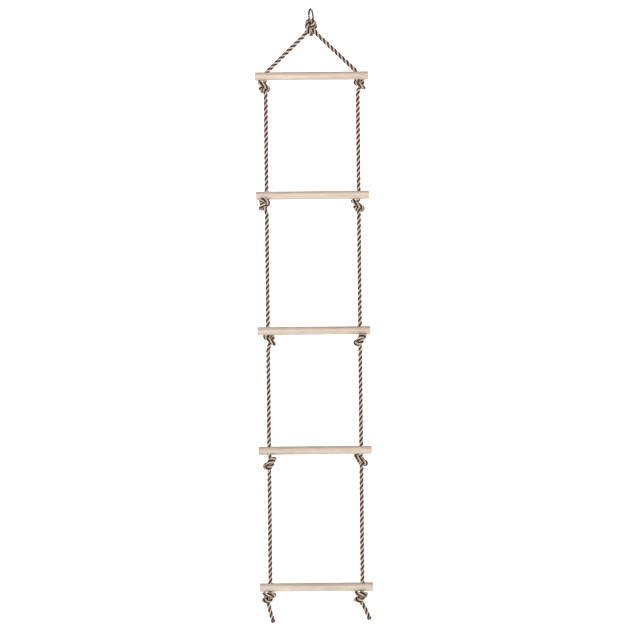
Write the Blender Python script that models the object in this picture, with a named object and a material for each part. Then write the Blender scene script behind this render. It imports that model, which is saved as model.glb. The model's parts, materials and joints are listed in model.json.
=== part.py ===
"""Escape rope ladder: five wooden rungs on two rope sides that hang from one steel ring.

Metres, +Z up. The ladder hangs in the XZ plane, +X to the right of someone who faces it.
The origin is the highest point inside the ring, where a hook bears.
"""

import math

import bmesh
import bpy
from mathutils import Matrix, Vector

# ---- Driving dimensions ----

GAP = 0.0003  # between pieces that touch

RING_WIRE_RADIUS = 0.003
RING_RADIUS = 0.023  # to the middle of the wire
RING_TURN = math.radians(16)  # between the ring's plane and the YZ plane

ROPE_RADIUS = 0.006
SIDE_X = 0.142  # from the middle to each side's rope

RUNG_LENGTH = 0.350
RUNG_RADIUS = 0.013
RUNG_CHAMFER = 0.0015
HOLE_RADIUS = 0.007
RUNG_DROPS = (0.203, 0.571, 0.989, 1.358, 1.780)  # of each rung's middle below the origin
LAST_RUNG = len(RUNG_DROPS)

KNOT_HEIGHT = 0.038
KNOT_RADIUS = 0.0175
KNOT_CORE_RADIUS = 0.013
WRAP_TILT = math.radians(24)
WRAP_OFFSET = 0.0065  # of the two wraps above and below the knot's middle
KNOT_TURN = math.radians(55)  # between one knot and the next one down
SLACK_KNOT = ("left", 4)  # this knot was tied a little low
SLACK_DROP = 0.008

BEND_BELOW_KNOT = 0.030  # where a run swings, below the knots above it
SWING_START = 2 * ROPE_RADIUS + GAP  # ball centre to ball centre at a swing
FOLD_START = 0.0132  # the same at a fold, which turns further
BALL_STEPS = (0, 35, 70)  # degrees round a rope's rounded end

LOOP_RADIUS = RING_WIRE_RADIUS + ROPE_RADIUS + GAP  # the eye's rope round the wire
LOOP_LEG = 0.007  # from the wire's height down to where the ladder swings
TOP_KNOT_HALF = Vector((0.0165, 0.0145, 0.0125))
TOP_KNOT_DROP = 0.0188  # from the swing axis to the top knot's middle
TOP_WRAP_TILT = math.radians(30)
BRIDLE_SLOPE = math.radians(43.5)  # of the slanted ropes, below the horizontal
BRIDLE_BEND = 0.012  # bend radius where a slanted rope turns into its hole
BRIDLE_MOUTH = 0.003  # depth in the hole at which that bend ends
BRIDLE_STUB_START = 0.009  # x in the top knot where a slanted rope begins, clear of the eye
BRIDLE_STUB_X = 0.024  # where the top knot ends and the slanted rope starts

TAIL_DROP = 0.008  # of a tail's bend below its knot
TAIL_EXITS = {"left": -0.1475, "right": 0.146}  # x where each tail leaves its knot
TAIL_LEANS = {"left": math.radians(15.8), "right": math.radians(22.9)}  # towards +X
TAIL_LENGTHS = {"left": 0.0506, "right": 0.0458}  # from the bend to the tip
TIP_LENGTH = 0.010
TIP_RADIUS = 0.0065

ROPE_SIDES = 12
WRAP_SEGMENTS = (14, 7)  # round the wrap, and round its rope
RUNG_SIDES = 28
HOLE_SIDES = 20
RING_SEGMENTS = (32, 10)

SIDES = {"left": -1, "right": 1}

# ---- Heights that follow ----

RING_BOTTOM = -(2 * RING_RADIUS - RING_WIRE_RADIUS)  # middle of the wire at its lowest
BRIDLE_AXIS = RING_BOTTOM - LOOP_LEG  # where the ladder swings on the eye
RING_NORMAL = Vector((math.cos(RING_TURN), -math.sin(RING_TURN), 0))


def rung_height(rung):
    """The middle of a rung, counted from 1 at the top."""
    return -RUNG_DROPS[rung - 1]


def knot_top(side, rung):
    """The top of a rung's knot on one side."""
    slack = SLACK_DROP if (side, rung) == SLACK_KNOT else 0
    return rung_height(rung) - RUNG_RADIUS - GAP - slack


def swing_height(rung):
    """Where the run that leads down to a rung swings, below the knots above it."""
    return rung_height(rung - 1) - RUNG_RADIUS - GAP - KNOT_HEIGHT - BEND_BELOW_KNOT


def fold_height(rung):
    """Where the run that leads down to a rung folds, halfway along it."""
    return (swing_height(rung) + rung_height(rung) + RUNG_RADIUS) / 2


# ---- Materials ----

STEEL = ((0.62, 0.62, 0.60, 1), 0.25, 1.0)
ROPE = ((0.62, 0.47, 0.33, 1), 0.85, 0.0)
WOOD = ((0.74, 0.62, 0.48, 1), 0.55, 0.0)
MELTED_ROPE = ((0.06, 0.045, 0.035, 1), 0.4, 0.0)


def make_material(name, look):
    """A Principled BSDF with a colour, a roughness and a metallic value."""
    colour, roughness, metallic = look
    material = bpy.data.materials.new(name)
    material.use_nodes = True
    shader = material.node_tree.nodes["Principled BSDF"]
    shader.inputs["Base Color"].default_value = colour
    shader.inputs["Roughness"].default_value = roughness
    shader.inputs["Metallic"].default_value = metallic
    return material


# ---- Mesh helpers ----


def add_object(name, data, look=None, location=(0, 0, 0), rotation=(0, 0, 0)):
    """Put a mesh or a curve in the scene, smooth-shaded and with its own material."""
    piece = bpy.data.objects.new(name, data)
    bpy.context.collection.objects.link(piece)
    piece.location = location
    piece.rotation_euler = rotation
    if isinstance(data, bpy.types.Mesh):
        data.shade_smooth()
        data.set_sharp_from_angle(angle=math.radians(40))
    if look is not None:
        data.materials.append(make_material(name + "_material", look))
    return piece


def turned_mesh(name, profile, sides, closed=False):
    """Turn (radius, height) points about Z; a closed profile makes a ring.

    An open profile is capped at both ends, at a point where its radius is 0.
    """
    shape = bmesh.new()
    rings = []
    for radius, height in profile:
        if radius == 0:
            rings.append([shape.verts.new((0, 0, height))])
            continue
        angles = [2 * math.pi * i / sides for i in range(sides)]
        rings.append(
            [shape.verts.new((radius * math.cos(a), radius * math.sin(a), height)) for a in angles]
        )
    pairs = list(zip(rings, rings[1:]))
    if closed:
        pairs.append((rings[-1], rings[0]))
    for upper, lower in pairs:
        for i in range(sides):
            corners = [
                upper[i % len(upper)],
                lower[i % len(lower)],
                lower[(i + 1) % len(lower)],
                upper[(i + 1) % len(upper)],
            ]
            shape.faces.new(list(dict.fromkeys(corners)))
    if not closed:
        for end in (rings[0], rings[-1]):
            if len(end) > 1:
                shape.faces.new(end)
    bmesh.ops.recalc_face_normals(shape, faces=shape.faces)
    mesh = bpy.data.meshes.new(name)
    shape.to_mesh(mesh)
    shape.free()
    return mesh


def torus_mesh(name, radius, wire_radius, segments):
    """A ring about Z."""
    around, section = segments
    angles = [2 * math.pi * i / section for i in range(section)]
    profile = [(radius + wire_radius * math.cos(a), wire_radius * math.sin(a)) for a in angles]
    return turned_mesh(name, profile, around, closed=True)


def ellipsoid_mesh(name, half_sizes, sides=12, steps=6):
    """An ellipsoid with the given half sizes."""
    angles = [math.pi * i / steps for i in range(steps + 1)]
    profile = [(math.sin(a), math.cos(a)) for a in angles]
    profile[0] = (0, 1)
    profile[-1] = (0, -1)
    mesh = turned_mesh(name, profile, sides)
    mesh.transform(Matrix.Diagonal((*half_sizes, 1)))
    return mesh


def ball_profile(centre, direction):
    """Profile points of a rope's rounded end; direction is +1 up or -1 down."""
    points = []
    for step in BALL_STEPS:
        angle = math.radians(step)
        height = centre + direction * ROPE_RADIUS * math.sin(angle)
        points.append((ROPE_RADIUS * math.cos(angle), height))
    return points if direction < 0 else points[::-1]


def rope_mesh(name, top, bottom, round_top=False, round_bottom=False):
    """A straight rope along Z; a rounded end's ball centre lies at the given height."""
    head = ball_profile(top, 1) if round_top else [(ROPE_RADIUS, top)]
    foot = ball_profile(bottom, -1) if round_bottom else [(ROPE_RADIUS, bottom)]
    return turned_mesh(name, head + foot, ROPE_SIDES)


def combine(name, base, tools, operation):
    """Union or difference of a mesh with (mesh, matrix) tools, as one new mesh."""
    body = add_object(name + "_body", base)
    helpers = [body]
    for mesh, matrix in tools:
        helper = add_object(name + "_tool", mesh)
        helper.matrix_world = matrix
        helper.hide_render = True
        helper.display_type = "WIRE"
        helpers.append(helper)
        boolean = body.modifiers.new("boolean", "BOOLEAN")
        boolean.operation = operation
        boolean.solver = "EXACT"
        boolean.object = helper
    result = bpy.data.meshes.new_from_object(body.evaluated_get(bpy.context.evaluated_depsgraph_get()))
    result.name = name
    for helper in helpers:
        bpy.data.objects.remove(helper)
    return result


def smooth_route(points, spacing):
    """Points about spacing apart on a Catmull-Rom curve through the route's points."""
    route = [Vector(p) for p in points]
    padded = [2 * route[0] - route[1], *route, 2 * route[-1] - route[-2]]
    out = []
    for before, start, end, after in zip(padded, padded[1:], padded[2:], padded[3:]):
        steps = max(1, round((end - start).length / spacing))
        for step in range(steps):
            t = step / steps
            out.append(
                0.5
                * (
                    2 * start
                    + (end - before) * t
                    + (2 * before - 5 * start + 4 * end - after) * t**2
                    + (3 * start - before - 3 * end + after) * t**3
                )
            )
    out.append(route[-1])
    return out


def rope_curve(name, points, shares=None):
    """A rope along the points, as a bevelled curve; shares scale its radius at each point."""
    curve = bpy.data.curves.new(name, "CURVE")
    curve.dimensions = "3D"
    curve.bevel_depth = ROPE_RADIUS
    curve.bevel_resolution = 4
    curve.use_fill_caps = True
    spline = curve.splines.new("POLY")
    spline.points.add(len(points) - 1)
    for i, (place, point) in enumerate(zip(spline.points, points)):
        place.co = (*point, 1)
        place.radius = shares[i] if shares else 1
    return curve


# ---- The ring and the rope eye round it ----


def build_ring():
    """The steel ring, standing on edge and turned a little off the ladder's side view."""
    mesh = torus_mesh("hanging_ring", RING_RADIUS, RING_WIRE_RADIUS, RING_SEGMENTS)
    mesh.transform(Matrix.Rotation(math.pi / 2, 4, "Y"))
    centre = (0, 0, RING_WIRE_RADIUS - RING_RADIUS)
    add_object("hanging_ring", mesh, STEEL, centre, (0, 0, -RING_TURN))


def build_ring_loop():
    """The rope over the ring's wire, with two short legs that end in balls."""
    arc_steps = 12
    points = []
    shares = []
    for step in reversed(BALL_STEPS[1:]):
        angle = math.radians(step)
        points.append(Vector((LOOP_RADIUS, 0, -LOOP_LEG - ROPE_RADIUS * math.sin(angle))))
        shares.append(math.cos(angle))
    points.append(Vector((LOOP_RADIUS, 0, -LOOP_LEG)))
    shares.append(1)
    for step in range(arc_steps // 2 + 1):
        angle = math.pi * step / arc_steps
        points.append(Vector((LOOP_RADIUS * math.cos(angle), 0, LOOP_RADIUS * math.sin(angle))))
        shares.append(1)
    mirrored = [Vector((-p.x, 0, p.z)) for p in points[:-1]]
    points += mirrored[::-1]
    shares += shares[:-1][::-1]
    curve = rope_curve("ring_loop", points, shares)
    add_object("ring_loop", curve, ROPE, (0, 0, RING_BOTTOM), (0, 0, -RING_TURN))


# ---- The top knot and the two slanted ropes ----


def bridle_direction(side):
    """Along a slanted rope, down and outwards."""
    return Vector((SIDES[side] * math.cos(BRIDLE_SLOPE), 0, -math.sin(BRIDLE_SLOPE)))


def bridle_turn(side):
    """Where a slanted rope starts to bend into its hole."""
    bend_top = rung_height(1) + RUNG_RADIUS - BRIDLE_MOUTH
    turn = math.pi / 2 - BRIDLE_SLOPE
    inward = BRIDLE_BEND * (1 - math.cos(turn))
    return Vector((SIDES[side] * (SIDE_X - inward), 0, bend_top + BRIDLE_BEND * math.sin(turn)))


def bridle_point(side, x):
    """The point on a slanted rope's straight stretch at a distance x from the middle."""
    corner = bridle_turn(side)
    along = (abs(corner.x) - x) / math.cos(BRIDLE_SLOPE)
    return corner - bridle_direction(side) * along


def build_top_knot():
    """A half knot: two crossing wraps, the eye's two necks above, a stub to each side."""
    middle = Vector((0, 0, BRIDLE_AXIS - TOP_KNOT_DROP))
    core = ellipsoid_mesh("top_knot_core", TOP_KNOT_HALF * 0.92)
    core.transform(Matrix.Translation(middle))
    wrap = torus_mesh(
        "top_knot_wrap", TOP_KNOT_HALF.x - ROPE_RADIUS, ROPE_RADIUS, WRAP_SEGMENTS
    )
    flatten = Matrix.Diagonal((1, TOP_KNOT_HALF.y / TOP_KNOT_HALF.x, 1, 1))
    tools = []
    for tilt in (TOP_WRAP_TILT, -TOP_WRAP_TILT):
        turn = Matrix.Rotation(tilt, 4, "Y")
        tools.append((wrap, Matrix.Translation(middle) @ turn @ flatten))
    neck = rope_mesh("top_knot_neck", -ROPE_RADIUS - GAP, -TOP_KNOT_DROP)
    for direction in SIDES.values():
        place = Vector((0, 0, BRIDLE_AXIS)) + direction * LOOP_RADIUS * RING_NORMAL
        tools.append((neck, Matrix.Translation(place)))
    for side in SIDES:
        start = bridle_point(side, BRIDLE_STUB_START)
        end = bridle_point(side, BRIDLE_STUB_X)
        stub = rope_mesh("top_knot_stub", (end - start).length, 0)
        turn = bridle_direction(side).to_track_quat("Z", "Y").to_matrix().to_4x4()
        tools.append((stub, Matrix.Translation(start) @ turn))
    mesh = combine("top_knot", core, tools, "UNION")
    mesh.transform(Matrix.Translation((0, 0, -BRIDLE_AXIS)))
    add_object("top_knot", mesh, ROPE, (0, 0, BRIDLE_AXIS))


def build_bridle_rope(side):
    """A slanted rope from the top knot to rung 1, then down through the rung's hole."""
    hand = SIDES[side]
    start = bridle_point(side, BRIDLE_STUB_X) + bridle_direction(side) * GAP
    corner = bridle_turn(side)
    bend_top = rung_height(1) + RUNG_RADIUS - BRIDLE_MOUTH
    half_turn = (math.pi / 2 - BRIDLE_SLOPE) / 2
    mid_bend = Vector(
        (
            hand * (SIDE_X - BRIDLE_BEND * (1 - math.cos(half_turn))),
            0,
            bend_top + BRIDLE_BEND * math.sin(half_turn),
        )
    )
    near_corner = corner - bridle_direction(side) * ROPE_RADIUS
    in_hole = Vector((hand * SIDE_X, 0, bend_top))
    lower = Vector((hand * SIDE_X, 0, bend_top - BRIDLE_BEND / 2))
    bottom = Vector((hand * SIDE_X, 0, rung_height(1) - RUNG_RADIUS))
    route = smooth_route([start, near_corner, corner, mid_bend, in_hole, lower, bottom], 0.026)
    axis = Vector((0, 0, BRIDLE_AXIS))
    name = f"bridle_rope_{side}"
    add_object(name, rope_curve(name, [p - axis for p in route]), ROPE, axis)


# ---- Rungs ----


def rung_mesh():
    """A round rung along X with chamfered ends and a drilled hole near each end."""
    half = RUNG_LENGTH / 2
    profile = [
        (RUNG_RADIUS - RUNG_CHAMFER, half),
        (RUNG_RADIUS, half - RUNG_CHAMFER),
        (RUNG_RADIUS, RUNG_CHAMFER - half),
        (RUNG_RADIUS - RUNG_CHAMFER, -half),
    ]
    dowel = turned_mesh("dowel", profile, RUNG_SIDES)
    dowel.transform(Matrix.Rotation(math.pi / 2, 4, "Y"))
    drill_profile = [(HOLE_RADIUS, 2 * RUNG_RADIUS), (HOLE_RADIUS, -2 * RUNG_RADIUS)]
    drill = turned_mesh("drill", drill_profile, HOLE_SIDES)
    holes = [(drill, Matrix.Translation((hand * SIDE_X, 0, 0))) for hand in SIDES.values()]
    return combine("rung", dowel, holes, "DIFFERENCE")


def build_rungs():
    """Five equal rungs."""
    drilled = rung_mesh()
    for rung in range(1, LAST_RUNG + 1):
        add_object(f"rung_{rung}", drilled.copy(), WOOD, (0, 0, rung_height(rung)))


# ---- Knots, straight runs and tails ----


def build_knot(side, rung):
    """A stopper knot: a rope stem through two crossing wraps round a core."""
    top = knot_top(side, rung)
    middle = top - KNOT_HEIGHT / 2
    if rung == LAST_RUNG:
        foot = top - KNOT_HEIGHT - TAIL_DROP
        foot_x = TAIL_EXITS[side]
    else:
        foot = swing_height(rung + 1)
        foot_x = SIDES[side] * SIDE_X
    stem_x = SIDES[side] * SIDE_X
    core = ellipsoid_mesh("core", (KNOT_CORE_RADIUS, KNOT_CORE_RADIUS, KNOT_HEIGHT / 2))
    wrap = torus_mesh("wrap", KNOT_RADIUS - ROPE_RADIUS, ROPE_RADIUS, WRAP_SEGMENTS)
    turn = Matrix.Rotation(SIDES[side] * KNOT_TURN * rung, 4, "Z")
    tools = []
    for direction in (1, -1):
        place = Matrix.Translation((0, 0, direction * WRAP_OFFSET))
        tilt = Matrix.Rotation(direction * WRAP_TILT, 4, "Y")
        tools.append((wrap, turn @ place @ tilt))
    stem_top = rope_mesh("stem_top", KNOT_HEIGHT / 2, 0)
    tools.append((stem_top, Matrix.Identity(4)))
    stem_foot = rope_mesh("stem_foot", 0, foot - middle, round_bottom=True)
    tools.append((stem_foot, Matrix.Translation((foot_x - stem_x, 0, 0))))
    name = f"knot_{side}_{rung}"
    mesh = combine(name, core, tools, "UNION")
    add_object(name, mesh, ROPE, (stem_x, 0, middle))


def build_run(side, rung):
    """The straight rope down to a rung: an upper half, and a lower half through the rung."""
    x = SIDES[side] * SIDE_X
    swing = swing_height(rung)
    fold = fold_height(rung)
    upper = f"rope_{side}_{rung}_upper"
    mesh = rope_mesh(upper, -SWING_START, fold - swing, round_top=True, round_bottom=True)
    add_object(upper, mesh, ROPE, (x, 0, swing))
    lower = f"rope_{side}_{rung}_lower"
    bottom = knot_top(side, rung) + GAP
    mesh = rope_mesh(lower, -FOLD_START, bottom - fold, round_top=True)
    add_object(lower, mesh, ROPE, (x, 0, fold))


def build_tail(side):
    """The free rope end under the last knot, and its melted tip, leaning towards +X."""
    bend = Vector((TAIL_EXITS[side], 0, knot_top(side, LAST_RUNG) - KNOT_HEIGHT - TAIL_DROP))
    lean = (0, -TAIL_LEANS[side], 0)
    tip_top = TIP_LENGTH - TAIL_LENGTHS[side]
    name = f"tail_{side}"
    mesh = rope_mesh(name, -ROPE_RADIUS - GAP, tip_top + GAP)
    add_object(name, mesh, ROPE, bend, lean)
    profile = [
        (ROPE_RADIUS, tip_top),
        (TIP_RADIUS, tip_top - 0.2 * TIP_LENGTH),
        (TIP_RADIUS, tip_top - 0.6 * TIP_LENGTH),
        (0.75 * TIP_RADIUS, tip_top - 0.9 * TIP_LENGTH),
        (0.35 * TIP_RADIUS, tip_top - TIP_LENGTH),
    ]
    name = f"tail_tip_{side}"
    add_object(name, turned_mesh(name, profile, ROPE_SIDES), MELTED_ROPE, bend, lean)


def build_ladder():
    """Build every piece, top to bottom."""
    for piece in list(bpy.data.objects):
        bpy.data.objects.remove(piece)
    build_ring()
    build_ring_loop()
    build_top_knot()
    build_rungs()
    for side in SIDES:
        build_bridle_rope(side)
        build_knot(side, 1)
        for rung in range(2, LAST_RUNG + 1):
            build_run(side, rung)
            build_knot(side, rung)
        build_tail(side)


build_ladder()
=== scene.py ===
"""Looks of the escape rope ladder: laid rope with tied knots, turned beech rungs and a steel ring.

One rope is modelled from end to end: up the left side, round the ring, and down the right side.
Its knots are pulled tight by a small solver, then the rope is cut where the bodies of the frame meet.
"""

import json
import math

import bpy
import numpy as np
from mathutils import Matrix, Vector


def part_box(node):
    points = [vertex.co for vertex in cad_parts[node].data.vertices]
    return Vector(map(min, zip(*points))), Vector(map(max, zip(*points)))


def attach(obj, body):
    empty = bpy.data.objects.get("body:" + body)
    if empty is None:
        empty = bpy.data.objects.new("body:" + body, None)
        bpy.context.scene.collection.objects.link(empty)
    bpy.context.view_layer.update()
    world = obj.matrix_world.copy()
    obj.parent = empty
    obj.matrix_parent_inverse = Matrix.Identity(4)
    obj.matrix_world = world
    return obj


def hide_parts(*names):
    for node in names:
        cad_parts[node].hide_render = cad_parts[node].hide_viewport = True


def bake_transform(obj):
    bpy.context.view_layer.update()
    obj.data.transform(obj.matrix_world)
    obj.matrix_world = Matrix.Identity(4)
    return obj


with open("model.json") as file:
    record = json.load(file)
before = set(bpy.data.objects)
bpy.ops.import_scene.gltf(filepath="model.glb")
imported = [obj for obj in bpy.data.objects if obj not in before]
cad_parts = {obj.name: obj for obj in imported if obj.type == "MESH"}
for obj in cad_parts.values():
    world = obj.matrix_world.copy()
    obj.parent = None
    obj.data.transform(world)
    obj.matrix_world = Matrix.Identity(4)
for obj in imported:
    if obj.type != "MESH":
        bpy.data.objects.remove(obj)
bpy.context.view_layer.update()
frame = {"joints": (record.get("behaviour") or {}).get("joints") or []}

# ---------------------------------------------------------------- sizes, in metres
# the drawn rope: its strands, and the yarns each strand is twisted from
ROPE_DIAMETER = 0.0139
ROPE_RADIUS = ROPE_DIAMETER / 2
ROPE_STEP = 0.0021
JOIN_ROUNDS = 3
STRANDS = 3
STRAND_RADIUS = 0.464 * ROPE_RADIUS
STRAND_OFFSET = 0.536 * ROPE_RADIUS
STRAND_SIDES = 16
STRAND_FIBRE_SHIFT = 3.1
LAY_LENGTH = 0.0500
YARN_LAY = 0.030
YARN_WAVES = 4.0

# the knots, solved with a rope a little thinner than the drawn one so that their turns press together
KNOT_ROPE = 0.012
KNOT_CONTACT = 0.0127
KNOT_BEND_RADIUS = 0.0085
KNOT_ROUNDS = 1200
# the solver: how much of its rounds shorten the rope, and how hard each step works
SHORTENING_SHARE = 0.85
NEIGHBOUR_SPAN = 1.6 * KNOT_ROPE
STRAIGHTENING = 0.12
BEND_PUSH = 0.25
MOST_BEND = 1.5
CONTACT_PASSES = 2
LINK_PASSES = 8
LEAD_DRAW = 0.3
# the knots' routes before they are tightened, and how they meet their rungs
KNOT_STEP = 0.0032
KNOT_LEAD = 0.055
KNOT_LEAD_END = KNOT_LEAD - 0.004
KNOT_SEED_SIZE = 0.0085
KNOT_SEED_SPAN = 2.05
KNOT_SQUEEZE = 0.0015
LEAD_REACH = 0.75 * ROPE_DIAMETER
DOUBLE_KNOT_CORE = 0.007
DOUBLE_KNOT_WRAP = 0.0205
DOUBLE_KNOT_HIGH = 0.011
DOUBLE_KNOT_WRAP_ANGLE = 3 * math.pi
LAST_KNOT_SHIFT = 0.0055
LAST_KNOT_REACH = 0.024
SLIP_ALLOWED = 0.001

# the ring, with the bead where it is welded
RING_RADIUS = 0.023
RING_WIRE = 0.0033
RING_TURN = math.radians(16)
RING_STEPS = 144
RING_SIDES = 24
WELD_ANGLE = math.radians(200)
WELD_WIDTH = math.radians(5)
WELD_HEIGHT = 0.10

# the bridle's straight legs, and the hitch between them
LEG_APEX = -0.0568
LEG_SLOPE = math.tan(math.radians(43.9))
LEG_START = 0.066
LEG_MIDDLE = 0.070
HITCH_HALF_WIDTH = 0.018
HITCH_END = 0.0655
HITCH_STEP = 0.0028
HITCH_ROUNDS = 900
HITCH_BEND_RADIUS = 0.0075
HITCH_BOTTOM = -0.0765
HITCH_SHORTENING = 0.96
BRIDLE_BOTTOM = -0.15
# the corner where a leg turns down into rung 1
CORNER_LENGTH = 0.020
CORNER_DEPTH = 0.008
CORNER_STEP = 0.001
CORNER_ROUNDS = 10

# the rungs and their rope holes
RUNG_ROUNDING = 0.0022
RUNG_ROUNDING_STEPS = 5
RUNG_SIDES = 96
TIMBER_SHIFT = (0.71, 0.043, 0.029)
HOLE_RADIUS = 0.007
HOLE_ROUNDING = 0.0011
HOLE_FLARE = HOLE_RADIUS + HOLE_ROUNDING + 0.0006
HOLE_EASING = HOLE_ROUNDING * 1.6
HOLE_SIDES = 48
HOLE_LEAD_IN = 0.004
DRILL_OVERSHOOT = 0.002
SHARP_EDGE = math.radians(40)

# the tails, from just above their joint, and their melted tips
TAIL_START = 0.012
TAIL_STEP = 0.002
TAIL_ROUNDS = 30
TIP_RADIUS = 0.0073
TIP_LENGTH = 0.013
TIP_FULLNESS = 0.55
TIP_POLE_RADIUS = 0.0004
TIP_STEPS = 14
TIP_SIDES = 32

# how far the rope bends to either side of a joint
SWING_BLEND = 0.028
FOLD_BLEND = 0.060
TAIL_BLEND = 0.013

LEVELS = (1, 2, 3, 4, 5)
LAST_LEVEL = LEVELS[-1]
HUNG_LEVELS = LEVELS[1:]
SIDES = {"left": -1, "right": 1}

joints = {joint["name"]: joint for joint in frame["joints"]}


def middle(node):
    """The middle of a CAD node's box."""
    low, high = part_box(node)
    return (np.array(low) + np.array(high)) / 2


def joint_height(name):
    """The height of a joint of the CAD model."""
    return joints[name]["pos_m"][2]


RUNG_HEIGHT = {level: middle(f"rung_{level}")[2] for level in LEVELS}
RUNG_RADIUS = (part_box("rung_1")[1][2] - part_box("rung_1")[0][2]) / 2
RUNG_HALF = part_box("rung_1")[1][0]
SIDE_X = abs(middle("knot_left_2")[0])
RING_CENTRE = np.array([0.0, 0.0, middle("hanging_ring")[2]])
RING_NORMAL = np.array([math.cos(RING_TURN), -math.sin(RING_TURN), 0.0])
RING_TANGENT = np.array([math.sin(RING_TURN), math.cos(RING_TURN), 0.0])


# ---------------------------------------------------------------- curves
def resample(points, step):
    """Points along the same route, evenly spaced at about the given step."""
    points = np.asarray(points, float)
    gaps = np.linalg.norm(np.diff(points, axis=0), axis=1)
    points = points[np.concatenate([[True], gaps > 1e-7])]
    along = np.concatenate([[0.0], np.cumsum(gaps[gaps > 1e-7])])
    count = max(8, int(round(along[-1] / step)) + 1)
    at = np.linspace(0.0, along[-1], count)
    return np.column_stack([np.interp(at, along, points[:, axis]) for axis in range(3)])


def smooth(points, rounds):
    """Rounds off a route's corners, holding its ends."""
    points = points.copy()
    for _ in range(rounds):
        middles = 0.5 * (points[:-2] + points[2:])
        points[1:-1] = 0.5 * points[1:-1] + 0.5 * middles
    return points


def distances(points):
    """The length along a route at each of its points."""
    return np.concatenate([[0.0], np.cumsum(np.linalg.norm(np.diff(points, axis=0), axis=1))])


def directions(points):
    """The direction of a route at each of its points."""
    tangent = np.gradient(points, axis=0)
    return tangent / np.linalg.norm(tangent, axis=1)[:, None]


def turned(points, degrees):
    """Points turned about the vertical axis."""
    angle = math.radians(degrees)
    x = points[:, 0] * math.cos(angle) - points[:, 1] * math.sin(angle)
    y = points[:, 0] * math.sin(angle) + points[:, 1] * math.cos(angle)
    return np.column_stack([x, y, points[:, 2]])


# ---------------------------------------------------------------- knot solver
def spread_contacts(points, free, first, second):
    """Pushes apart the pairs of rope parts that touch."""
    gap = points[second] - points[first]
    length = np.linalg.norm(gap, axis=1)
    hit = length < KNOT_CONTACT
    if not hit.any():
        return
    push = gap[hit] / length[hit][:, None] * (0.5 * (KNOT_CONTACT - length[hit]))[:, None]
    move = np.zeros_like(points)
    hits = np.zeros(len(points))
    np.add.at(move, second[hit], push)
    np.add.at(move, first[hit], -push)
    np.add.at(hits, second[hit], 1)
    np.add.at(hits, first[hit], 1)
    points += move / np.maximum(1, hits * 0.5)[:, None] * free


def even_out(points, free, step):
    """Brings every link of the chain back to its length."""
    for parity in (0, 1):
        tail = points[parity + 1::2]
        head = points[parity:-1:2][:len(tail)]
        free_head = free[parity:-1:2][:len(tail)]
        free_tail = free[parity + 1::2]
        gap = tail - head
        length = np.linalg.norm(gap, axis=1)
        both = np.maximum(free_head + free_tail, 1e-9)
        error = gap / length[:, None] * (length - step)[:, None]
        head += error * free_head / both
        tail -= error * free_tail / both


def tighten(route, length, guide, rounds=KNOT_ROUNDS, bend=KNOT_BEND_RADIUS):
    """Shortens a knotted route to a length while its parts keep a rope's thickness apart.

    guide(points, free) holds the rope to what it meets: its straight leads, the legs or the ring.
    """
    points = np.array(route)
    count = len(points)
    free = np.ones((count, 1))
    free[:2] = 0.0
    free[-2:] = 0.0
    home = points.copy()
    begun = np.linalg.norm(np.diff(points, axis=0), axis=1).sum()
    first, second = np.triu_indices(count, 1)
    for turn in range(rounds):
        share = min(1.0, turn / (SHORTENING_SHARE * rounds))
        step = (begun + (length - begun) * share) / (count - 1)
        far = second - first >= max(3, int(round(NEIGHBOUR_SPAN / step)))
        bow = np.zeros_like(points)
        bow[1:-1] = 0.5 * (points[:-2] + points[2:]) - points[1:-1]
        points += STRAIGHTENING * bow * free
        span = max(2, int(round(KNOT_ROPE / step)))
        chord = 2 * bend * math.sin(min(MOST_BEND, span * step / (2 * bend)))
        across = points[span:] - points[:-span]
        width = np.linalg.norm(across, axis=1)
        push = across / width[:, None] * (BEND_PUSH * np.maximum(0.0, chord - width))[:, None]
        move = np.zeros_like(points)
        move[span:] += push
        move[:-span] -= push
        points += move * free
        for _ in range(CONTACT_PASSES):
            spread_contacts(points, free, first[far], second[far])
        guide(points, free)
        for _ in range(LINK_PASSES):
            even_out(points, free, step)
        points[free[:, 0] == 0] = home[free[:, 0] == 0]
    return points


def lead_guide(straight):
    """Draws a knot's leads in to its axis, beyond the height where they begin."""
    def guide(points, free):
        outside = (np.abs(points[:, 2]) > straight)[:, None] & (free > 0)
        points[:, :2] = np.where(outside, points[:, :2] * LEAD_DRAW, points[:, :2])

    return guide


def overhand_knot(slack, straight):
    """The centreline of one tied overhand knot round the vertical axis, from its top to its bottom.

    slack is how many rope diameters the knot takes up, and straight is where its leads begin.
    """
    t = np.linspace(-KNOT_SEED_SPAN, KNOT_SEED_SPAN, 200)
    seed = np.column_stack([t ** 3 - 3 * t, t ** 4 - 4 * t ** 2 + 2, t ** 5 / 5 - 2 * t])
    seed *= KNOT_SEED_SIZE
    if seed[0, 2] < seed[-1, 2]:
        seed = seed[::-1]
    lead = np.array([[0.0, 0.0, KNOT_LEAD], [0.0, 0.0, KNOT_LEAD_END]])
    route = resample(np.vstack([lead, seed, -lead[::-1]]), KNOT_STEP)
    return tighten(route, 2 * KNOT_LEAD + slack * KNOT_ROPE, lead_guide(straight))


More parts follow.
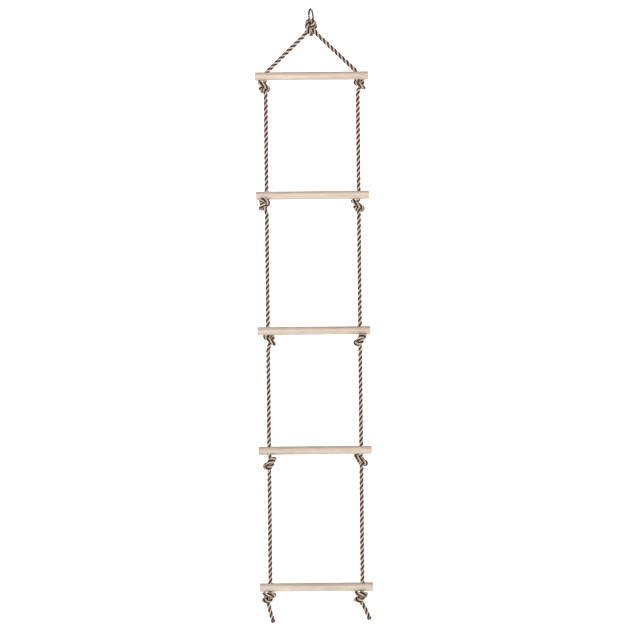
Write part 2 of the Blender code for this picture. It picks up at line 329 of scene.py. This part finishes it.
def double_overhand_knot(slack, straight):
    """The same for a double overhand knot: the rope wraps itself and comes back through the wraps."""
    core, wrap, high = DOUBLE_KNOT_CORE, DOUBLE_KNOT_WRAP, DOUBLE_KNOT_HIGH
    down = [
        (0, 0, KNOT_LEAD),
        (0, 0, KNOT_LEAD_END),
        (-0.2 * core, 0, high + 0.022),
        (-core, 0, high + 0.008),
        (-core, 0, 0),
        (-core, 0, -high - 0.004),
        (-1.6 * core, 0, -high - 0.012),
        (-0.95 * wrap, 0.006, -high - 0.010),
    ]
    angles = math.pi - np.linspace(0.0, DOUBLE_KNOT_WRAP_ANGLE, 36)
    climb = np.linspace(-high, high, len(angles))
    wraps = np.column_stack([wrap * np.cos(angles), wrap * np.sin(angles), climb])
    through = [
        (0.95 * wrap, -0.006, high + 0.010),
        (1.6 * core, 0, high + 0.012),
        (core, 0, high + 0.004),
        (core, 0, 0),
        (core, 0, -high - 0.008),
        (0.2 * core, 0, -high - 0.022),
        (0, 0, -KNOT_LEAD_END),
        (0, 0, -KNOT_LEAD),
    ]
    route = smooth(resample(np.vstack([down, wraps, through]), KNOT_STEP), 4)
    return tighten(route, 2 * KNOT_LEAD + slack * KNOT_ROPE, lead_guide(straight))


def leg_point(side, x):
    """A point of the bridle's straight leg, at a distance x from the ladder's middle."""
    return np.array([side * x, 0.0, LEG_APEX - LEG_SLOPE * x])


def keep_off_ring(points, free):
    """Moves the rope off the ring's wire."""
    offset = points - RING_CENTRE
    across = offset @ RING_TANGENT
    reach = np.hypot(across, offset[:, 2])
    wire = RING_CENTRE + np.outer(across / reach * RING_RADIUS, RING_TANGENT)
    wire[:, 2] += offset[:, 2] / reach * RING_RADIUS
    gap = points - wire
    length = np.linalg.norm(gap, axis=1)
    keep = RING_WIRE + ROPE_RADIUS
    hit = (length < keep) & (free[:, 0] > 0)
    points[hit] = wire[hit] + gap[hit] / length[hit][:, None] * keep


def ring_hitch():
    """The centreline of the hitch on the ring, from the left leg to the right one.

    The left leg crosses in front, goes up round the wire and down inside, then round the crossing
    from front to back, and the right leg mirrors it behind.
    """
    near = [
        (-0.0130, -0.0020, -0.0675),
        (0.0000, -0.0065, -0.0575),
        (0.0085, -0.0085, -0.0500),
        (0.0108, -0.0075, -0.0430),
        (0.0060, -0.0065, -0.0345),
        (-0.0020, -0.0065, -0.0325),
        (-0.0100, -0.0075, -0.0400),
        (-0.0115, -0.0110, -0.0500),
        (-0.0085, -0.0145, -0.0610),
        (-0.0010, -0.0100, -0.0715),
    ]
    far = [(-x, -y, z) for x, y, z in near[::-1]]
    middle_point = [(0.0015, 0.0, -0.0745)]
    leg = (LEG_START, 0.063, 0.045, 0.030, 0.022)
    left = [leg_point(-1, x) for x in leg]
    right = [leg_point(1, x) for x in leg[::-1]]
    route = smooth(resample(np.vstack([left, near, middle_point, far, right]), HITCH_STEP), 6)
    length = np.linalg.norm(np.diff(route, axis=0), axis=1).sum()

    def guide(points, free):
        keep_off_ring(points, free)
        nub = points[len(points) // 2 - 1:len(points) // 2 + 2]
        nub[:, 2] += 0.9 * (HITCH_BOTTOM - nub[:, 2])
        outside = (np.abs(points[:, 0]) > HITCH_HALF_WIDTH) & (free[:, 0] > 0)
        height = LEG_APEX - LEG_SLOPE * np.abs(points[:, 0])
        points[outside, 2] += 0.5 * (height - points[:, 2])[outside]
        points[outside, 1] *= 0.5

    return tighten(route, HITCH_SHORTENING * length, guide, HITCH_ROUNDS, HITCH_BEND_RADIUS)


# ---------------------------------------------------------------- the whole rope
# How each knot was tied: slack in rope diameters, where its leads begin, turn, width and height.
KNOT_STYLE = {
    ("left", 1): (8.8, 0.0205, 236, 1.0, 1.0),
    ("right", 1): (8.5, 0.020, 128, 1.0, 1.05),
    ("left", 2): (9.0, 0.021, 300, 1.0, 1.08),
    ("right", 2): (9.8, 0.0235, 212, 1.02, 1.18),
    ("left", 3): (9.4, 0.022, 142, 1.05, 1.22),
    ("right", 3): (9.2, 0.022, 8, 1.0, 1.05),
    ("left", 4): (9.8, 0.0235, 22, 1.0, 1.18),
    ("right", 4): (9.9, 0.0235, 196, 1.05, 1.22),
    ("left", 5): (13.0, 0.026, 140, 1.08, 1.13),
    ("right", 5): (13.0, 0.026, 132, 1.08, 1.15),
}


def rise_to_rung(points, rung_height):
    """How far a knot has to rise for its turns beside the leads to press on the rung's underside."""
    beside = np.hypot(points[:, 0], points[:, 1]) > LEAD_REACH
    reach = RUNG_RADIUS + ROPE_RADIUS - KNOT_SQUEEZE
    under = beside & (np.abs(points[:, 1]) < reach)
    limit = rung_height - np.sqrt(reach ** 2 - points[under, 1] ** 2)
    return np.min(limit - points[under, 2])


def enter_hole(knot, ceiling):
    """Straightens the lead that comes down through the rung, to where it leaves the hole."""
    above = np.clip((knot[:, 2] - ceiling + HOLE_LEAD_IN) / HOLE_LEAD_IN, 0.0, 1.0)[:, None]
    lead = np.arange(len(knot))[:, None] < len(knot) // 2
    knot[:, :2] *= 1 - above * lead


def place_knot(name, level):
    """The centreline of one knot, pressed up against its rung unless the CAD model's knot has slipped."""
    slack, straight, turn, width, height = KNOT_STYLE[name, level]
    tie = double_overhand_knot if level == LAST_LEVEL else overhand_knot
    knot = turned(tie(slack, straight), turn) * (width, width, height)
    if level == LAST_LEVEL:
        knot[:, 0] -= LAST_KNOT_SHIFT * np.exp(-(knot[:, 2] / LAST_KNOT_REACH) ** 4)
    underside = RUNG_HEIGHT[level] - RUNG_RADIUS
    slip = max(0.0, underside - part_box(f"knot_{name}_{level}")[1][2] - SLIP_ALLOWED)
    knot[:, 2] += rise_to_rung(knot, RUNG_HEIGHT[level]) - slip
    enter_hole(knot, underside)
    return knot + np.array([SIDES[name] * SIDE_X, 0.0, 0.0])


def whole_side(name):
    """One side's whole centreline, evenly spaced, from the bridle's mid leg to inside the tip."""
    side = SIDES[name]
    leg = np.array([leg_point(side, x) for x in np.linspace(LEG_START, SIDE_X - CORNER_LENGTH, 6)])
    corner = leg_point(side, SIDE_X)
    knots = [place_knot(name, level) for level in LEVELS]
    knots[0] = knots[0][np.argmax(knots[0][:, 2] < corner[2] - CORNER_DEPTH):]
    bent = np.vstack([leg[-2:], corner[None, :], knots[0][:2]])
    bent = smooth(resample(bent, CORNER_STEP), CORNER_ROUNDS)
    joint = np.array(joints[f"tail_{name}_bend"]["pos_m"])
    above = np.nonzero(knots[-1][:, 2] > joint[2] + TAIL_START)[0]
    down = knots[-1][:above[-1] + 1]
    end = np.vstack([down[-3:], joint[None, :], middle(f"tail_tip_{name}")[None, :]])
    end = smooth(resample(end, TAIL_STEP), TAIL_ROUNDS)
    pieces = [leg[:-2], bent] + knots[:-1] + [down[:-3], end]
    return smooth(resample(np.vstack(pieces), ROPE_STEP), JOIN_ROUNDS)


def whole_rope():
    """The rope's centreline from the left tail's tip over the ring to the right tail's tip."""
    top = ring_hitch()
    inner = np.abs(top[:, 0]) < HITCH_END
    route = np.vstack([whole_side("left")[::-1], top[inner], whole_side("right")])
    return smooth(resample(route, ROPE_STEP), JOIN_ROUNDS)


# ---------------------------------------------------------------- rope mesh
class Rope:
    """The whole rope's centreline with its strands laid round it."""

    def __init__(self, route):
        self.route = route
        self.along = distances(route)
        self.tangent = directions(route)
        self.side, self.other = self.frames()

    def frames(self):
        """Directions across the rope that never twist about it."""
        across = np.cross(self.tangent[0], [0.0, 1.0, 0.0])
        across /= np.linalg.norm(across)
        side = [across]
        for tangent in self.tangent[1:]:
            across = across - tangent * (across @ tangent)
            across = across / np.linalg.norm(across)
            side.append(across)
        side = np.array(side)
        return side, np.cross(self.tangent, side)

    def strand(self, number):
        """One strand's centreline, its outward and sideways directions, and the length along it."""
        turn = 2 * math.pi * (self.along / LAY_LENGTH + number / STRANDS)
        out = np.cos(turn)[:, None] * self.side + np.sin(turn)[:, None] * self.other
        centre = self.route + STRAND_OFFSET * out
        tangent = directions(centre)
        out = out - tangent * np.sum(out * tangent, axis=1)[:, None]
        out /= np.linalg.norm(out, axis=1)[:, None]
        return centre, out, np.cross(tangent, out), distances(centre)


def band_faces(rows, sides, base=0):
    """The faces of a tube of rings of points, from ring to ring."""
    faces = []
    for row in range(rows - 1):
        start = base + row * sides
        following = start + sides
        for column in range(sides):
            beside = (column + 1) % sides
            faces.append((start + column, start + beside, following + beside, following + column))
    return faces


def mesh_object(name, points, faces, material):
    """A smooth-shaded object of one material, added to the scene."""
    mesh = bpy.data.meshes.new(name)
    mesh.from_pydata([tuple(point) for point in points], [], faces)
    mesh.shade_smooth()
    mesh.materials.append(material)
    made = bpy.data.objects.new(name, mesh)
    bpy.context.scene.collection.objects.link(made)
    return made


def add_attribute(mesh, name, kind, values):
    """Stores a number (FLOAT) or a place (FLOAT_VECTOR) at every point for the material to read."""
    attribute = mesh.attributes.new(name, kind, "POINT")
    field = "vector" if kind == "FLOAT_VECTOR" else "value"
    attribute.data.foreach_set(field, np.asarray(values, np.float32).ravel())


def build_rope_piece(name, rope, first, last, material):
    """A stretch of the rope as closed strands, with what its material needs at every point."""
    angles = np.linspace(0.0, 2 * math.pi, STRAND_SIDES, endpoint=False)
    rings = last - first + 1
    points = []
    laid = []
    shade_depth = []
    faces = []
    for number in range(STRANDS):
        centre, out, across, length = rope.strand(number)
        length = length + STRAND_FIBRE_SHIFT * number
        base = number * (rings * STRAND_SIDES + 2)
        for index in range(first, last + 1):
            ring = centre[index] + STRAND_RADIUS * (
                np.outer(np.cos(angles), out[index]) + np.outer(np.sin(angles), across[index]))
            points.append(ring)
            laid.append(np.column_stack([
                STRAND_RADIUS * np.cos(angles),
                STRAND_RADIUS * np.sin(angles),
                np.full(STRAND_SIDES, length[index]),
            ]))
            # how deep each point lies in the rope, which the material turns into painted shade in the
            # valleys between the strands
            shade_depth.append(np.linalg.norm(ring - rope.route[index], axis=1) / ROPE_RADIUS)
        for end in (first, last):
            points.append(centre[end][None, :])
            laid.append(np.array([[0.0, 0.0, length[end]]]))
            shade_depth.append(np.array([0.5]))
        faces += band_faces(rings, STRAND_SIDES, base)
        top = base + rings * STRAND_SIDES
        bottom = top + 1
        final = base + (rings - 1) * STRAND_SIDES
        for column in range(STRAND_SIDES):
            beside = (column + 1) % STRAND_SIDES
            faces.append((top, base + beside, base + column))
            faces.append((bottom, final + column, final + beside))
    piece = mesh_object(name, np.vstack(points), faces, material)
    add_attribute(piece.data, "laid", "FLOAT_VECTOR", np.vstack(laid))
    add_attribute(piece.data, "shade_depth", "FLOAT", np.concatenate(shade_depth))
    return piece


# ---------------------------------------------------------------- materials
# A Mix node has sockets for every kind of data, and these are the ones that mix colours.
MIX_COLOUR_INPUTS = (0, 6, 7)
MIX_COLOUR_OUTPUT = 2


def new_material(name):
    """A material with only its output and its shader, and the shader."""
    material = bpy.data.materials.new(name)
    material.use_nodes = True
    nodes = material.node_tree.nodes
    nodes.clear()
    output = nodes.new("ShaderNodeOutputMaterial")
    shader = nodes.new("ShaderNodeBsdfPrincipled")
    material.node_tree.links.new(shader.outputs["BSDF"], output.inputs["Surface"])
    return material, shader


class Wiring:
    """Short ways to add and join a material's nodes."""

    def __init__(self, material):
        self.tree = material.node_tree

    def put(self, socket, value):
        """Joins a socket to another node's output, or sets its number."""
        if isinstance(value, bpy.types.NodeSocket):
            self.tree.links.new(value, socket)
        else:
            socket.default_value = value

    def math(self, operation, *values):
        made = self.tree.nodes.new("ShaderNodeMath")
        made.operation = operation
        for socket, value in zip(made.inputs, values):
            self.put(socket, value)
        return made.outputs[0]

    def attribute(self, name, output):
        made = self.tree.nodes.new("ShaderNodeAttribute")
        made.attribute_name = name
        return made.outputs[output]

    def place(self):
        """The object's own coordinates."""
        return self.tree.nodes.new("ShaderNodeTexCoord").outputs["Object"]

    def split(self, vector):
        made = self.tree.nodes.new("ShaderNodeSeparateXYZ")
        self.put(made.inputs["Vector"], vector)
        return made.outputs

    def ramp(self, factor, stops):
        """A colour looked up between stops, each a position and a colour."""
        made = self.tree.nodes.new("ShaderNodeValToRGB")
        self.put(made.inputs["Fac"], factor)
        elements = made.color_ramp.elements
        while len(elements) < len(stops):
            elements.new(0.5)
        for element, (position, colour) in zip(elements, stops):
            element.position = position
            element.color = (*colour, 1.0)
        return made.outputs["Color"]

    def scaled(self, vector, scale):
        made = self.tree.nodes.new("ShaderNodeVectorMath")
        made.operation = "MULTIPLY"
        self.put(made.inputs[0], vector)
        made.inputs[1].default_value = scale
        return made.outputs[0]

    def noise(self, vector, scale, detail=2.0, roughness=0.5):
        made = self.tree.nodes.new("ShaderNodeTexNoise")
        self.put(made.inputs["Vector"], vector)
        made.inputs["Scale"].default_value = scale
        made.inputs["Detail"].default_value = detail
        made.inputs["Roughness"].default_value = roughness
        return made.outputs["Fac"]

    def multiplied(self, factor, first, second):
        """The first colour multiplied by the second, as strongly as the factor says."""
        made = self.tree.nodes.new("ShaderNodeMix")
        made.data_type = "RGBA"
        made.blend_type = "MULTIPLY"
        for index, value in zip(MIX_COLOUR_INPUTS, (factor, first, second)):
            self.put(made.inputs[index], value)
        return made.outputs[MIX_COLOUR_OUTPUT]

    def bump(self, height, distance, strength=1.0):
        made = self.tree.nodes.new("ShaderNodeBump")
        self.put(made.inputs["Height"], height)
        made.inputs["Distance"].default_value = distance
        made.inputs["Strength"].default_value = strength
        return made.outputs["Normal"]


def rope_material():
    """Three-strand rope: twisted yarns and loose fibres, with painted shade in the valleys between the
    strands and in the grooves between the yarns.
    """
    material, shader = new_material("rope_fibre")
    wiring = Wiring(material)
    laid = wiring.attribute("laid", "Vector")
    shade_depth = wiring.attribute("shade_depth", "Fac")
    x, y, along_strand = wiring.split(laid)
    angle = wiring.math("ARCTAN2", y, x)
    yarn_turn = wiring.math("MULTIPLY", along_strand, 2 * math.pi / YARN_LAY)
    wander = wiring.math("MULTIPLY", wiring.noise(laid, 160.0), 0.9)
    phase = wiring.math("ADD", wiring.math("ADD", angle, yarn_turn), wander)
    yarn = wiring.math("ABSOLUTE", wiring.math("SINE", wiring.math("MULTIPLY", phase, YARN_WAVES)))
    along = wiring.scaled(laid, (1.0, 1.0, 0.12))
    fibre = wiring.noise(along, 3200.0, 3.0, 0.7)
    blotch = wiring.noise(laid, 45.0, 3.0, 0.6)
    tone = wiring.ramp(fibre, [
        (0.30, (0.33, 0.240, 0.172)),
        (0.48, (0.61, 0.500, 0.408)),
        (0.70, (0.80, 0.712, 0.618)),
    ])
    patch = wiring.ramp(blotch, [(0.30, (0.78, 0.72, 0.66)), (0.72, (1.0, 1.0, 1.0))])
    tone = wiring.multiplied(1.0, tone, patch)
    # painted shade: the rope is darkened in the grooves between its yarns
    yarn_groove_shade = wiring.ramp(yarn, [(0.02, (0.50, 0.42, 0.34)), (0.42, (1.0, 1.0, 1.0))])
    tone = wiring.multiplied(0.75, tone, yarn_groove_shade)
    # painted shade: the rope is darkened to near black where its surface lies deep between the strands,
    # in the valleys where shade falls
    valley_shade = wiring.ramp(shade_depth, [
        (0.68, (0.018, 0.010, 0.005)),
        (0.85, (0.045, 0.027, 0.014)),
        (0.93, (0.50, 0.43, 0.36)),
        (0.975, (1.0, 1.0, 1.0)),
    ])
    tone = wiring.multiplied(1.0, tone, valley_shade)
    wiring.put(shader.inputs["Base Color"], tone)
    height = wiring.math("ADD", wiring.math("MULTIPLY", yarn, 0.7), wiring.math("MULTIPLY", fibre, 0.5))
    wiring.put(shader.inputs["Normal"], wiring.bump(height, 0.0006, 0.8))
    rough = wiring.math("ADD", 0.72, wiring.math("MULTIPLY", fibre, 0.25))
    wiring.put(shader.inputs["Roughness"], rough)
    shader.inputs["Specular IOR Level"].default_value = 0.18
    shader.inputs["Sheen Weight"].default_value = 0.08
    shader.inputs["Sheen Roughness"].default_value = 0.6
    return material


def wood_material():
    """Pale beech: long grain, short dark flecks and soft clouding."""
    material, shader = new_material("beech_wood")
    wiring = Wiring(material)
    grain = wiring.attribute("grain", "Vector")
    long_grain = wiring.noise(wiring.scaled(grain, (0.035, 1.0, 1.0)), 700.0, 5.0, 0.62)
    streak = wiring.noise(wiring.scaled(grain, (0.02, 1.0, 1.0)), 170.0, 3.0, 0.55)
    fleck = wiring.noise(wiring.scaled(grain, (0.11, 1.0, 1.0)), 1500.0, 1.0, 0.4)
    cloud = wiring.noise(grain, 18.0, 2.0, 0.5)
    tone = wiring.ramp(streak, [
        (0.28, (0.410, 0.324, 0.250)),
        (0.50, (0.512, 0.430, 0.363)),
        (0.74, (0.582, 0.518, 0.464)),
    ])
    fine = wiring.ramp(long_grain, [(0.30, (0.80, 0.74, 0.68)), (0.62, (1.0, 1.0, 1.0))])
    tone = wiring.multiplied(0.75, tone, fine)
    dark = wiring.ramp(fleck, [(0.27, (0.52, 0.40, 0.30)), (0.36, (1.0, 1.0, 1.0))])
    tone = wiring.multiplied(0.75, tone, dark)
    soft = wiring.ramp(cloud, [(0.30, (0.92, 0.89, 0.86)), (0.70, (1.0, 1.0, 1.0))])
    tone = wiring.multiplied(1.0, tone, soft)
    wiring.put(shader.inputs["Base Color"], tone)
    height = wiring.math("ADD", long_grain, wiring.math("MULTIPLY", fleck, 0.5))
    wiring.put(shader.inputs["Normal"], wiring.bump(height, 0.00025, 0.5))
    rough = wiring.math("ADD", 0.46, wiring.math("MULTIPLY", long_grain, 0.16))
    wiring.put(shader.inputs["Roughness"], rough)
    shader.inputs["Coat Weight"].default_value = 0.12
    shader.inputs["Coat Roughness"].default_value = 0.35
    return material


def steel_material():
    """Plated steel wire: drawn lines along it, fine scratches and a little cloudiness."""
    material, shader = new_material("plated_steel")
    wiring = Wiring(material)
    place = wiring.place()
    cloud = wiring.noise(place, 140.0, 4.0, 0.6)
    scratch = wiring.noise(wiring.scaled(place, (1.0, 1.0, 0.15)), 2600.0, 2.0, 0.6)
    tone = wiring.ramp(cloud, [(0.25, (0.07, 0.07, 0.07)), (0.75, (0.17, 0.17, 0.167))])
    wiring.put(shader.inputs["Base Color"], tone)
    rough = wiring.math("ADD", 0.14, wiring.math("MULTIPLY", scratch, 0.16))
    wiring.put(shader.inputs["Roughness"], rough)
    wiring.put(shader.inputs["Normal"], wiring.bump(scratch, 0.00008, 0.5))
    shader.inputs["Metallic"].default_value = 1.0
    return material


def melted_material():
    """Rope end sealed by heat: dark, lumpy and part glossy."""
    material, shader = new_material("melted_end")
    wiring = Wiring(material)
    place = wiring.place()
    lump = wiring.noise(place, 420.0, 3.0, 0.6)
    tone = wiring.ramp(lump, [
        (0.30, (0.018, 0.010, 0.006)),
        (0.55, (0.060, 0.034, 0.018)),
        (0.80, (0.16, 0.10, 0.06)),
    ])
    wiring.put(shader.inputs["Base Color"], tone)
    wiring.put(shader.inputs["Roughness"], wiring.math("ADD", 0.25, wiring.math("MULTIPLY", lump, 0.4)))
    wiring.put(shader.inputs["Normal"], wiring.bump(lump, 0.0012, 0.9))
    return material


# ---------------------------------------------------------------- rigid pieces
def lathe(profile, axis, sides):
    """Points and faces of a closed profile of (along, radius) pairs turned round an axis."""
    angles = np.linspace(0.0, 2 * math.pi, sides, endpoint=False)
    points = []
    for along, radius in profile:
        for angle in angles:
            around = (radius * math.cos(angle), radius * math.sin(angle))
            points.append((along, *around) if axis == "x" else (*around, along))
    count = len(profile)
    faces = band_faces(count, sides)
    faces.append(tuple(range(sides))[::-1])
    faces.append(tuple((count - 1) * sides + column for column in range(sides)))
    if axis == "x":
        faces = [face[::-1] for face in faces]
    return points, faces


def rounded(half, radius, rounding):
    """A bar's profile with rounded rims."""
    profile = []
    for sign in (-1, 1):
        turns = np.linspace(0.0, math.pi / 2, RUNG_ROUNDING_STEPS + 1)
        rim = [(sign * (half - rounding + rounding * math.cos(turn)),
                radius - rounding + rounding * math.sin(turn)) for turn in turns]
        profile.extend(rim if sign < 0 else rim[::-1])
    return profile


def build_drill(side, material):
    """The shape of one rope hole with eased mouths, to be cut out of a rung."""
    reach = RUNG_RADIUS + DRILL_OVERSHOOT
    mouth = RUNG_RADIUS - HOLE_EASING
    profile = [(-reach, HOLE_FLARE), (-mouth, HOLE_RADIUS), (mouth, HOLE_RADIUS), (reach, HOLE_FLARE)]
    points, faces = lathe(profile, "z", HOLE_SIDES)
    points = [(x + side * SIDE_X, y, z) for x, y, z in points]
    return mesh_object("drill", points, faces, material)


def build_rung(level, material):
    """A turned rung with rounded rims, drilled for the rope, cut from its own stretch of timber."""
    points, faces = lathe(rounded(RUNG_HALF, RUNG_RADIUS, RUNG_ROUNDING), "x", RUNG_SIDES)
    rung = mesh_object(f"wood_rung_{level}", points, faces, material)
    tools = [build_drill(side, material) for side in SIDES.values()]
    for tool in tools:
        cut = rung.modifiers.new("drill", "BOOLEAN")
        cut.operation = "DIFFERENCE"
        cut.solver = "EXACT"
        cut.object = tool
    graph = bpy.context.evaluated_depsgraph_get()
    mesh = bpy.data.meshes.new_from_object(rung.evaluated_get(graph))
    rung.modifiers.clear()
    rung.data = mesh
    for tool in tools:
        bpy.data.objects.remove(tool)
    mesh.shade_smooth()
    mesh.set_sharp_from_angle(angle=SHARP_EDGE)
    place = np.empty(len(mesh.vertices) * 3, np.float32)
    mesh.vertices.foreach_get("co", place)
    place = place.reshape(-1, 3)
    along, across, deep = TIMBER_SHIFT
    timber = np.array([along * level, across * level, deep * level * level], np.float32)
    add_attribute(mesh, "grain", "FLOAT_VECTOR", place + timber)
    place[:, 2] += RUNG_HEIGHT[level]
    mesh.vertices.foreach_set("co", place.ravel())
    mesh.update()
    return rung


def build_ring(material):
    """The welded steel ring, with the small bead where its wire was joined."""
    points = []
    faces = []
    for step in range(RING_STEPS):
        turn = 2 * math.pi * step / RING_STEPS
        out = RING_TANGENT * math.cos(turn) + np.array([0.0, 0.0, math.sin(turn)])
        gap = (turn - WELD_ANGLE) / WELD_WIDTH
        bead = 1 + WELD_HEIGHT * math.exp(-gap * gap)
        here = step * RING_SIDES
        following = (step + 1) % RING_STEPS * RING_SIDES
        for column in range(RING_SIDES):
            angle = 2 * math.pi * column / RING_SIDES
            across = math.cos(angle) * out + math.sin(angle) * RING_NORMAL
            points.append(RING_CENTRE + out * RING_RADIUS + across * RING_WIRE * bead)
            beside = (column + 1) % RING_SIDES
            faces.append((here + column, following + column, following + beside, here + beside))
    return mesh_object("steel_ring", points, faces, material)


def build_tip(name, rope_end, direction, material):
    """The melted end of the rope, a lumpy cap over its three strands."""
    profile = []
    for step in range(TIP_STEPS + 1):
        turn = math.pi * step / TIP_STEPS
        radius = TIP_RADIUS * math.sin(turn) ** TIP_FULLNESS
        profile.append((-0.5 * TIP_LENGTH * math.cos(turn), max(TIP_POLE_RADIUS, radius)))
    points, faces = lathe(profile, "z", TIP_SIDES)
    points = np.array(points)
    turn = np.arctan2(points[:, 1], points[:, 0])
    height = points[:, 2]
    over_strands = np.exp(-((height + 0.002) / 0.006) ** 2)
    lump = 1 + 0.03 * np.cos(STRANDS * turn + 260 * height) * over_strands
    lump += 0.012 * np.cos(5 * turn + 1.3 + 400 * height)
    points[:, :2] *= lump[:, None]
    turn_to = Vector((0, 0, 1)).rotation_difference(Vector(direction)).to_matrix()
    placed = [turn_to @ Vector(point) + Vector(rope_end) for point in points]
    return mesh_object(name, placed, faces, material)


# ---------------------------------------------------------------- assembly
def nearest_index(rope, stretch, test):
    """The index in a stretch of the rope where a test of its points is closest to zero."""
    first, last = stretch
    return first + int(np.argmin(np.abs(test(rope.route[first:last]))))


def from_mid_leg(points):
    """How far points of the bridle's leg are from its middle, and one metre for any lower point."""
    return np.where(points[:, 2] > BRIDLE_BOTTOM, np.abs(points[:, 0]) - LEG_MIDDLE, 1.0)


def side_cuts(rope, name):
    """The indices where one side of the rope is cut, from the bridle's mid leg down to the tail's end.

    Every cut lies inside one body, a quarter and three quarters of the way down each run.
    """
    top = int(np.argmax(rope.route[:, 2]))
    count = len(rope.route)
    stretch, end = ((0, top), 0) if SIDES[name] < 0 else ((top, count), count - 1)
    cuts = [nearest_index(rope, stretch, from_mid_leg)]
    for level in HUNG_LEVELS:
        fold = joint_height(f"run_{level}_fold")
        quarter = (joint_height(f"run_{level}_swing") + fold) / 2
        for height in (quarter, 2 * fold - quarter):
            cuts.append(nearest_index(rope, stretch, lambda points: points[:, 2] - height))
    return cuts + [end]


def side_plan(name):
    """One side's rope pieces from the top down.

    Each has its name, the two bodies it joins, their joint, how far it bends to either side of
    the joint, and the CAD nodes it replaces.
    """
    plan = [("leg", "bridle", "run_2_upper", "run_2_swing", SWING_BLEND,
             [f"bridle_rope_{name}", f"knot_{name}_1"])]
    for level in HUNG_LEVELS:
        upper, lower = f"run_{level}_upper", f"run_{level}_lower"
        plan.append((f"run_{level}", upper, lower, f"run_{level}_fold", FOLD_BLEND,
                     [f"rope_{name}_{level}_upper"]))
        nodes = [f"rope_{name}_{level}_lower", f"knot_{name}_{level}"]
        if level < LAST_LEVEL:
            plan.append((f"knot_{level}", lower, f"run_{level + 1}_upper", f"run_{level + 1}_swing",
                         SWING_BLEND, nodes))
        else:
            plan.append((f"knot_{level}", lower, f"tail_{name}", f"tail_{name}_bend",
                         TAIL_BLEND, nodes + [f"tail_{name}"]))
    return plan


def declare(rope, first, last, exit_index):
    """Takes the path of a piece of the rope, turned to run from the end where it leaves the piece before
    it.
    """
    path = rope.route[first:last + 1]
    if exit_index == last:
        path = path[::-1]


def bend_over(piece):
    """Bakes a stretch of rope's placement into its points."""
    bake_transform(piece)


rope = Rope(whole_rope())
rope_look = rope_material()
wood_look = wood_material()
steel_look = steel_material()
tip_look = melted_material()
cuts = {name: side_cuts(rope, name) for name in SIDES}

eye = build_rope_piece("rope_eye", rope, cuts["left"][0], cuts["right"][0], rope_look)
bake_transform(eye)
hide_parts("ring_loop", "top_knot")
declare(rope, cuts["left"][0], cuts["right"][0], cuts["left"][0])

for name in SIDES:
    outward = rope.tangent[cuts[name][-1]] * SIDES[name]
    tip = build_tip(f"melted_tip_{name}", middle(f"tail_tip_{name}"), -outward, tip_look)
    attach(tip, f"tail_{name}")
    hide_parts(f"tail_tip_{name}")
    for index, (part, upper, lower, joint, half, nodes) in enumerate(side_plan(name)):
        start, stop = cuts[name][index:index + 2]
        first, last = min(start, stop), max(start, stop)
        piece = build_rope_piece(f"rope_{name}_{part}", rope, first, last, rope_look)
        bend_over(piece)
        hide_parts(*nodes)
        if lower == f"tail_{name}":
            declare(rope, first, last, start)
        else:
            declare(rope, first, last, start)

for level in LEVELS:
    rung = build_rung(level, wood_look)
    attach(rung, "bridle" if level == 1 else f"step_{level}")
    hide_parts(f"rung_{level}")

ring = build_ring(steel_look)
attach(ring, "ring")
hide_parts("hanging_ring")


# ---------------------------------------------------------------- stage, light and camera
LIGHT_TARGET = (0, 0, -0.9)
WORLD_STRENGTH = 0.22
SENSOR_WIDTH = 36.0


def studio_material():
    """Bright white paint, lit from behind as a light cove is."""
    material, shader = new_material("studio_white")
    wiring = Wiring(material)
    place = wiring.place()
    tone = wiring.ramp(wiring.noise(place, 2.0), [(0.3, (0.88, 0.88, 0.88)), (0.7, (0.90, 0.90, 0.90))])
    wiring.put(shader.inputs["Base Color"], tone)
    shader.inputs["Roughness"].default_value = 0.9
    shader.inputs["Specular IOR Level"].default_value = 0.1
    shader.inputs["Emission Color"].default_value = (1.0, 1.0, 1.0, 1.0)
    shader.inputs["Emission Strength"].default_value = 0.80
    return material


def build_stage():
    """A round pale floor that curves up into a low wall, open above."""
    floor, radius, bend, top = -1.98, 9.0, 1.6, 1.8
    sides, bend_steps, middle_hole = 96, 12, 0.02
    line = [(floor, middle_hole), (floor, radius - bend)]
    for step in range(1, bend_steps + 1):
        turn = math.pi / 2 * step / bend_steps
        line.append((floor + bend - bend * math.cos(turn), radius - bend + bend * math.sin(turn)))
    line.append((top, radius))
    points, faces = lathe(line, "z", sides)
    stage = mesh_object("studio_floor", points, faces[:-1], studio_material())


def add_area_light(name, place, size, power):
    """A round lamp that shines on the middle of the ladder."""
    light = bpy.data.lights.new(name, "AREA")
    light.shape = "DISK"
    light.size = size
    light.energy = power
    lamp = bpy.data.objects.new(name, light)
    lamp.location = place
    lamp.rotation_euler = (Vector(LIGHT_TARGET) - Vector(place)).to_track_quat("-Z", "Y").to_euler()
    bpy.context.scene.collection.objects.link(lamp)


def add_camera():
    """The main view: level, square to the ladder, rolled by about half a degree."""
    distance = 5.0
    frame_width = 1.944
    roll = math.radians(-0.56)
    aim = Vector((0.0036, 0.0, -0.9375))
    camera = bpy.data.cameras.new("camera")
    camera.sensor_width = SENSOR_WIDTH
    camera.lens = SENSOR_WIDTH * distance / frame_width
    camera.clip_end = 60.0
    holder = bpy.data.objects.new("camera", camera)
    holder.location = aim + Vector((0.0, -distance, 0.0))
    holder.rotation_euler = (math.radians(90), -roll, 0.0)
    bpy.context.scene.collection.objects.link(holder)
    bpy.context.scene.camera = holder


build_stage()
add_area_light("key", (-1.2, -4.4, 0.5), size=2.2, power=100)
add_area_light("fill", (2.6, -3.8, 0.4), size=1.4, power=30)
add_camera()
world = bpy.data.worlds.new("studio")
world.use_nodes = True
background = world.node_tree.nodes["Background"]
background.inputs["Color"].default_value = (1.0, 1.0, 1.0, 1.0)
background.inputs["Strength"].default_value = WORLD_STRENGTH
bpy.context.scene.world = world
bpy.context.scene.view_settings.view_transform = "Standard"
